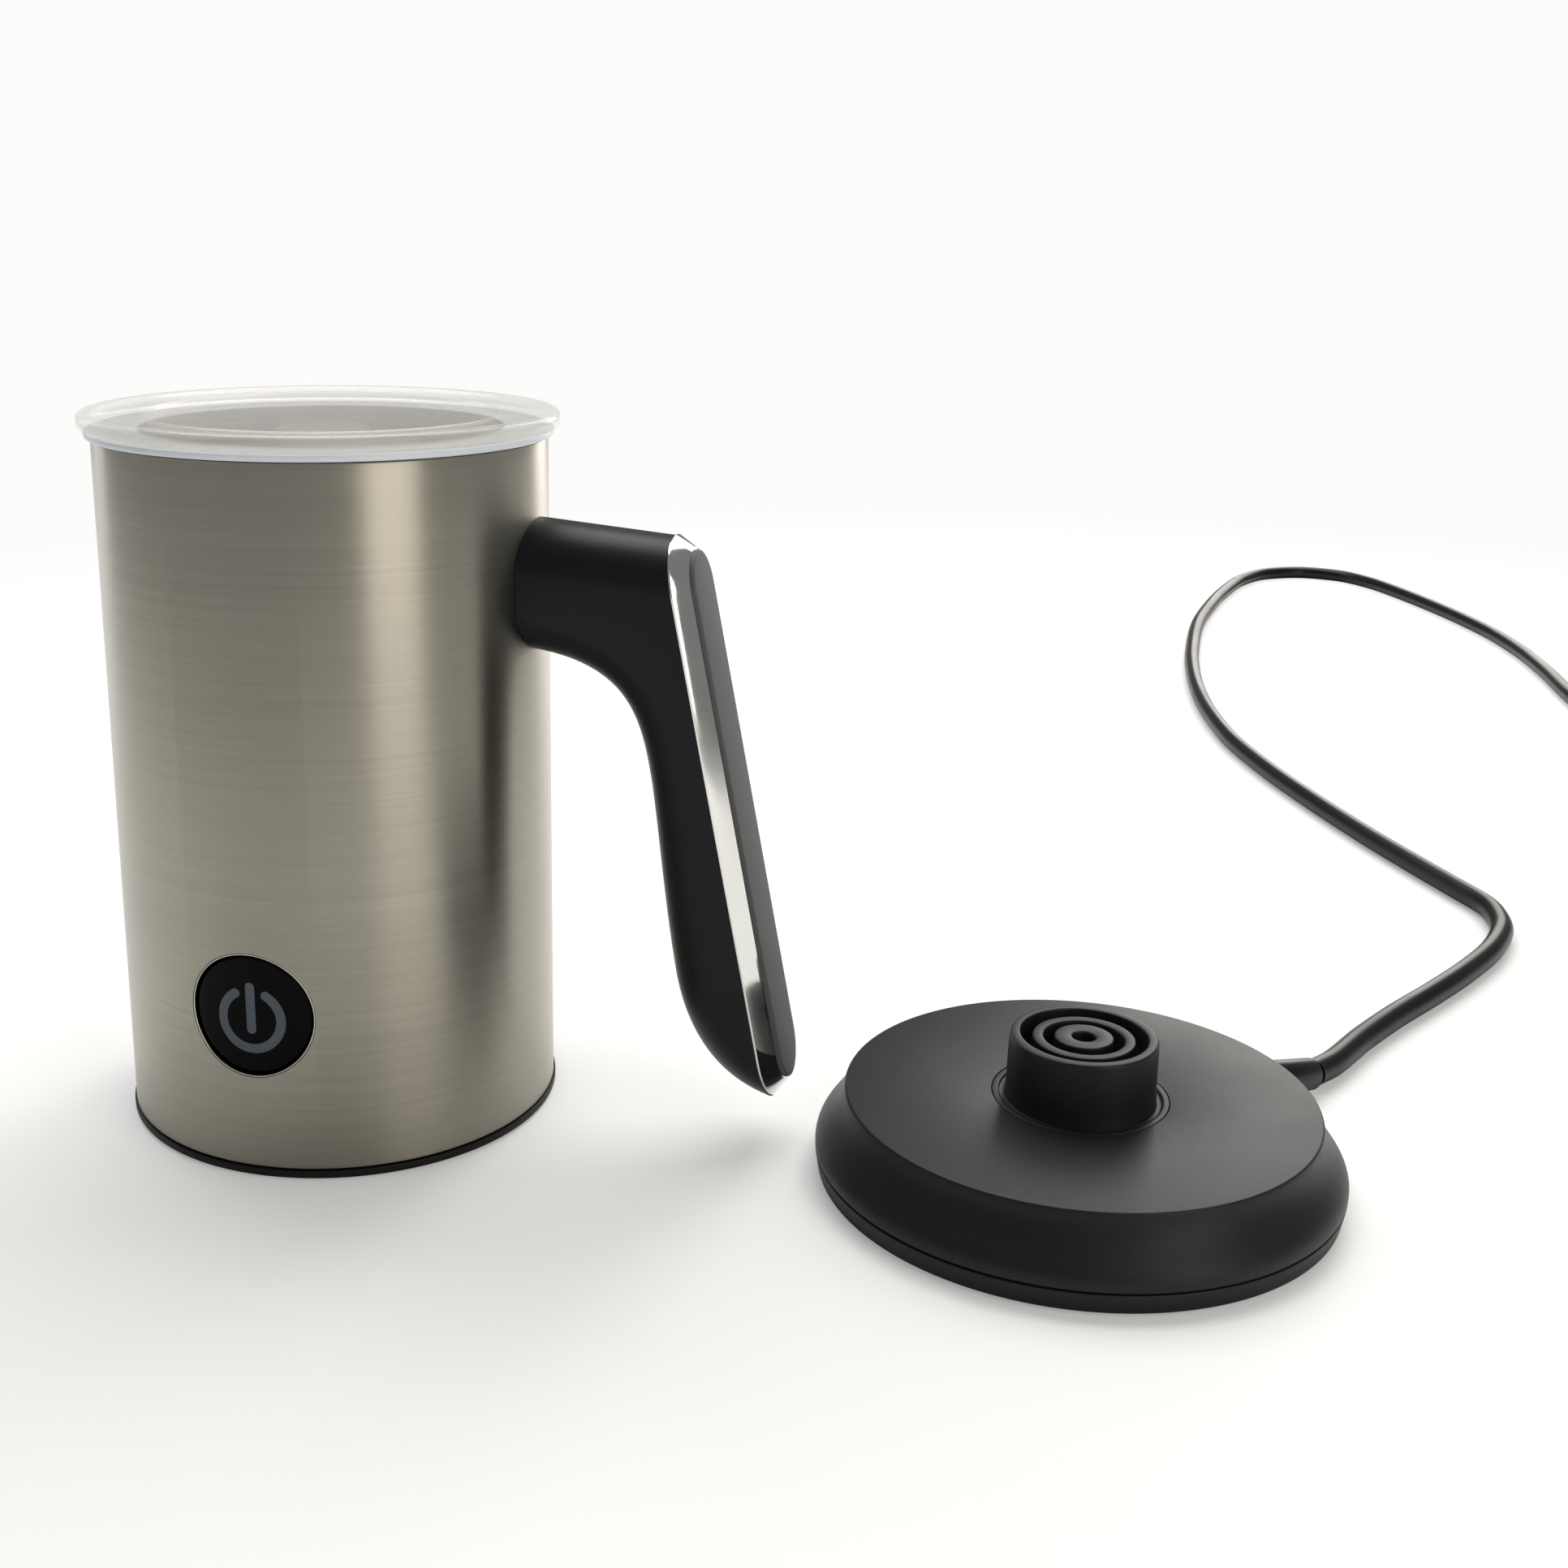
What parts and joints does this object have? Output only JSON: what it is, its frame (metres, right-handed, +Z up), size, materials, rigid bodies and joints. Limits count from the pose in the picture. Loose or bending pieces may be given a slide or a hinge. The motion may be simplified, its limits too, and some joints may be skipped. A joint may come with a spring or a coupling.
{
  "type": "milk frother",
  "caption": "Milk frother: steel jug with a heated whisk, clear lid and open sloping handle, beside its round power base with a concentric connector, cord and plug.",
  "frame": {"origin": "on the floor, at the centre of the box round the jug, its handle and the power base, without the cord", "axes": "+Z up, +X along the handle from the jug towards the power base, -Y the side with the power button"},
  "size_m": [0.4459, 0.7317, 0.1473],
  "materials": {
    "brushed_steel": "fine brushing round the jug, satin",
    "polished_steel": "bright",
    "plug_pins": "nickel plate",
    "base_black": "fine satin texture",
    "handle_black": "fine satin texture",
    "jug_black": "satin",
    "plug_black": "satin",
    "chrome_trim": "mirror bright",
    "soft_grey": "soft touch, matte",
    "rubber_black": "matte",
    "cord_black": "satin vinyl",
    "brass": "satin",
    "copper": "satin",
    "inner_plastic": "moulded",
    "circuit_board": "solder mask",
    "gloss_black": "piano gloss",
    "magnet": "nickel",
    "clear_plastic": "clear moulded plastic",
    "silicone": "translucent grey-blue"
  },
  "bodies": {
    "power_base": {"base_lower_cover": "base_black", "base_upper_cover": "base_black", "base_foot_1": "rubber_black", "base_foot_2": "rubber_black", "base_foot_3": "rubber_black", "base_screw_1": "polished_steel", "base_screw_2": "polished_steel", "base_screw_3": "polished_steel", "connector_housing": "base_black", "connector_collar": "base_black", "connector_hub": "base_black", "outer_contact": "brass", "inner_contact": "brass", "centre_contact": "brass", "strain_relief": "cord_black", "power_cord": "cord_black", "plug_body": "plug_black", "plug_pin_1": "plug_pins", "plug_pin_2": "plug_pins"},
    "jug": {"jug_shell": "brushed_steel", "inner_pot": "polished_steel", "bottom_cover": "jug_black", "jug_foot_ring": "rubber_black", "chassis": "inner_plastic", "jug_screw_1": "polished_steel", "jug_screw_2": "polished_steel", "jug_screw_3": "polished_steel", "jug_socket": "jug_black", "socket_centre_pin": "brass", "socket_inner_ring": "brass", "socket_outer_ring": "brass", "motor_can": "polished_steel", "heating_element": "copper", "temperature_sensor": "brass", "control_board": "circuit_board", "power_switch": "inner_plastic", "power_relay": "inner_plastic", "button_bezel": "polished_steel", "handle_body": "handle_black", "handle_trim": "chrome_trim", "grip_inlay": "soft_grey", "handle_bracket": "polished_steel", "handle_screw_1": "polished_steel", "handle_screw_2": "polished_steel", "whisk_spindle": "polished_steel"},
    "lid": {"lid_cover": "clear_plastic", "lid_seal": "silicone", "whisk_holder": "clear_plastic"},
    "motor_rotor": {"motor_shaft": "polished_steel", "motor_armature": "copper", "magnet_carrier": "jug_black", "drive_magnet_1": "magnet", "drive_magnet_2": "magnet"},
    "whisk": {"whisk_frame": "jug_black", "whisk_coil": "polished_steel", "whisk_magnet_1": "magnet", "whisk_magnet_2": "magnet"},
    "button": {"power_button": "gloss_black", "switch_plunger": "inner_plastic"}
  },
  "joints": [
    {"name": "jug_lift", "type": "slide", "parent": "power_base", "child": "jug", "axis": [0, 0, 1], "range_m": [0, 0.15]},
    {"name": "lid_lift", "type": "slide", "parent": "jug", "child": "lid", "axis": [0, 0, 1], "range_m": [0, 0.08]},
    {"name": "motor_spin", "type": "hinge", "parent": "jug", "child": "motor_rotor", "pos_m": [-0.0814, 0.0025, 0.04], "axis": [0, 0, 1], "continuous": true},
    {"name": "whisk_spin", "type": "hinge", "parent": "jug", "child": "whisk", "pos_m": [-0.0814, 0.0025, 0.058], "axis": [0, 0, 1], "continuous": true},
    {"name": "button_press", "type": "slide", "parent": "jug", "child": "button", "axis": [0, 1, 0], "range_m": [0, 0.0006], "stiffness_N_per_m": 2000, "springref_m": -0.0004}
  ],
  "couplings": [
    {"joint": "whisk_spin", "follows": "motor_spin", "ratio": 1}
  ]
}
